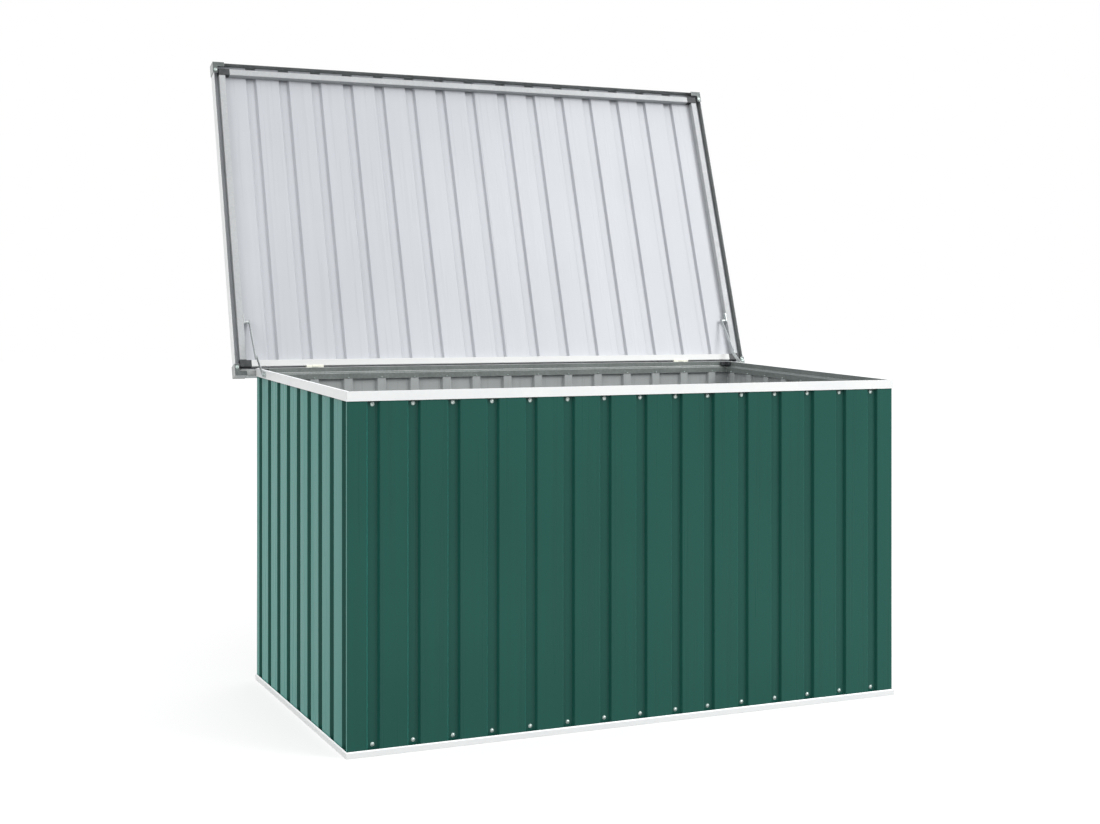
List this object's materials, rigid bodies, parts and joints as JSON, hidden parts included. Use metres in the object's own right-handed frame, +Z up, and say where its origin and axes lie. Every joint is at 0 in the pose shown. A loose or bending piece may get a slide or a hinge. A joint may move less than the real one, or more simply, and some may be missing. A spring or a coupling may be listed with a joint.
{
  "type": "garden storage box",
  "caption": "Free-standing garden storage box of ribbed green sheet steel with white edge rails and a framed rear-hinged lid held open by folding stays.",
  "frame": {"origin": "middle of the base, on the surface that the foot rails stand on", "axes": "+Z up, +X to the right seen from the front, +Y to the back where the lid is hinged; the lid is at rest wide open"},
  "size_m": [1.71, 1.2493, 1.8398],
  "materials": {
    "wall_green": "roll-coated green on the outside, pale grey inside",
    "rail_white": "white coat outside, bare zinc inside",
    "lid_sheet": "pale grey inside, green outside",
    "galvanised": "bare hot-dip zinc, satin",
    "tube_white": "white powder coat",
    "black_plastic": "moulded, matte",
    "hinge_cream": "pale coat, satin",
    "bright_steel": "zinc-plated, satin"
  },
  "bodies": {
    "box": {"front_foot_rail": "rail_white", "front_top_rail": "rail_white", "front_wall_screws": "bright_steel", "back_foot_rail": "rail_white", "back_top_rail": "rail_white", "back_wall_screws": "bright_steel", "left_foot_rail": "rail_white", "left_top_rail": "rail_white", "left_wall_screws": "bright_steel", "right_foot_rail": "rail_white", "right_top_rail": "rail_white", "right_wall_screws": "bright_steel", "front_wall_left_sheet": "wall_green", "front_wall_right_sheet": "wall_green", "back_wall_right_sheet": "wall_green", "back_wall_left_sheet": "wall_green", "left_wall_sheet": "wall_green", "right_wall_sheet": "wall_green", "front_left_rim_block": "black_plastic", "front_right_rim_block": "black_plastic", "back_left_rim_block": "black_plastic", "back_right_rim_block": "black_plastic", "floor_left_sheet": "galvanised", "floor_right_sheet": "galvanised", "left_hinge_rail_leaf": "hinge_cream", "left_hinge_pin": "bright_steel", "right_hinge_rail_leaf": "hinge_cream", "right_hinge_pin": "bright_steel", "left_stay_rail_bracket": "bright_steel", "right_stay_rail_bracket": "bright_steel", "rail_fitting_screws": "bright_steel"},
    "lid": {"lid_left_sheet": "lid_sheet", "lid_right_sheet": "lid_sheet", "lid_rear_tube": "tube_white", "lid_front_tube": "tube_white", "lid_left_tube": "tube_white", "lid_right_tube": "tube_white", "lid_rear_left_joint": "black_plastic", "lid_rear_right_joint": "black_plastic", "lid_front_left_joint": "black_plastic", "lid_front_right_joint": "black_plastic", "lid_front_trim": "galvanised", "lid_rear_trim": "galvanised", "lid_left_trim": "galvanised", "lid_right_trim": "galvanised", "lid_rear_left_cap": "galvanised", "lid_rear_right_cap": "galvanised", "lid_front_left_cap": "galvanised", "lid_front_right_cap": "galvanised", "lid_screws": "bright_steel", "left_hinge_lid_leaf": "hinge_cream", "right_hinge_lid_leaf": "hinge_cream", "left_stay_lid_bracket": "bright_steel", "right_stay_lid_bracket": "bright_steel", "lid_fitting_screws": "bright_steel"},
    "left_lower_stay": {"left_stay_lower_link": "bright_steel"},
    "left_upper_stay": {"left_stay_upper_link": "bright_steel"},
    "right_lower_stay": {"right_stay_lower_link": "bright_steel"},
    "right_upper_stay": {"right_stay_upper_link": "bright_steel"}
  },
  "joints": [
    {"name": "lid_hinge", "type": "hinge", "parent": "box", "child": "lid", "pos_m": [0, 0.4561, 0.911], "axis": [1, 0, 0], "range_deg": [0, 111.33]},
    {"name": "left_lower_stay_pivot", "type": "hinge", "parent": "box", "child": "left_lower_stay", "pos_m": [-0.7941, 0.3655, 0.8925], "axis": [1, 0, 0], "range_deg": [-33.55, 0]},
    {"name": "left_upper_stay_pivot", "type": "hinge", "parent": "lid", "child": "left_upper_stay", "pos_m": [-0.7983, 0.51077, 1.04044], "axis": [1, 0, 0], "range_deg": [0, 8.23]},
    {"name": "right_lower_stay_pivot", "type": "hinge", "parent": "box", "child": "right_lower_stay", "pos_m": [0.7941, 0.3655, 0.8925], "axis": [1, 0, 0], "range_deg": [-33.55, 0]},
    {"name": "right_upper_stay_pivot", "type": "hinge", "parent": "lid", "child": "right_upper_stay", "pos_m": [0.7983, 0.51077, 1.04044], "axis": [1, 0, 0], "range_deg": [0, 8.23]}
  ],
  "couplings": [
    {"joint": "left_lower_stay_pivot", "follows": "lid_hinge", "ratio": -0.30115},
    {"joint": "left_upper_stay_pivot", "follows": "lid_hinge", "ratio": 0.073727},
    {"joint": "right_lower_stay_pivot", "follows": "lid_hinge", "ratio": -0.30115},
    {"joint": "right_upper_stay_pivot", "follows": "lid_hinge", "ratio": 0.073727}
  ]
}
